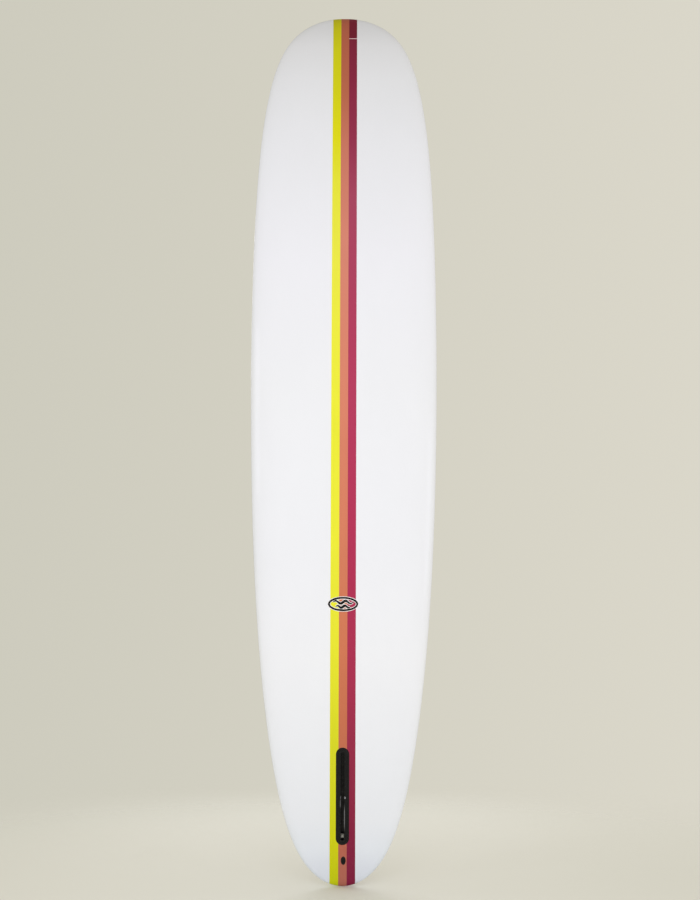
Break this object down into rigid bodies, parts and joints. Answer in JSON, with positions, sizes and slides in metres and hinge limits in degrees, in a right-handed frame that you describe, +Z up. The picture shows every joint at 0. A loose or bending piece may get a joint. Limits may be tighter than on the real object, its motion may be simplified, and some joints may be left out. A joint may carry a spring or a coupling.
{
  "type": "longboard surfboard",
  "caption": "Long round-nosed surfboard with a round tail, standing on its tail: foam blank, wooden stringer, gloss laminate with a three-colour centre stripe, slotted fin box and leash cup.",
  "frame": {"origin": "on the ground under the middle of the board: on its centre plane, level with the tail tip, halfway through its depth from the lowest point of the bottom to the highest point of the nose", "axes": "+Z up along the board from tail to nose, +Y from the bottom towards the deck, +X to the right of someone who looks at the bottom"},
  "size_m": [0.5718, 0.1309, 2.72],
  "materials": {
    "foam": "matte",
    "stringer_wood": "matte",
    "white_laminate": "gloss",
    "yellow_laminate": "gloss",
    "orange_laminate": "gloss",
    "crimson_laminate": "gloss",
    "badge_print": "gloss",
    "tail_mark_print": "gloss",
    "box_plastic": "satin",
    "black_resin": "gloss",
    "stainless_steel": "satin",
    "cup_plastic": "satin",
    "clear_resin": "gloss"
  },
  "bodies": {
    "board": {"foam_core_left": "foam", "foam_core_right": "foam", "foam_tail_left": "foam", "foam_tail_right": "foam", "foam_middle_left": "foam", "foam_middle_right": "foam", "stringer": "stringer_wood", "bottom_glass_left": "white_laminate", "bottom_glass_right": "white_laminate", "deck_glass_left": "white_laminate", "deck_glass_right": "white_laminate", "bottom_stripe_yellow": "yellow_laminate", "bottom_stripe_orange": "orange_laminate", "tail_stripe_orange": "orange_laminate", "bottom_stripe_crimson": "crimson_laminate", "nose_stripe_crimson": "crimson_laminate", "deck_stripe_yellow": "yellow_laminate", "deck_stripe_orange": "orange_laminate", "deck_stripe_crimson": "crimson_laminate", "badge_decal": "badge_print", "tail_mark_decal": "tail_mark_print", "fin_box": "box_plastic", "fin_box_resin": "black_resin", "leash_cup": "cup_plastic", "leash_bar": "stainless_steel", "leash_cup_resin": "clear_resin"},
    "plate": {"fin_plate": "stainless_steel"},
    "screw": {"fin_screw": "stainless_steel"}
  },
  "joints": [
    {"name": "plate_slide", "type": "slide", "parent": "board", "child": "plate", "axis": [0, -0.0976, 0.9952], "range_m": [-0.006, 0.244]},
    {"name": "screw_turn", "type": "hinge", "parent": "plate", "child": "screw", "pos_m": [0, -0.00641, 0.14976], "axis": [0, -0.9952, -0.0976], "continuous": true}
  ]
}
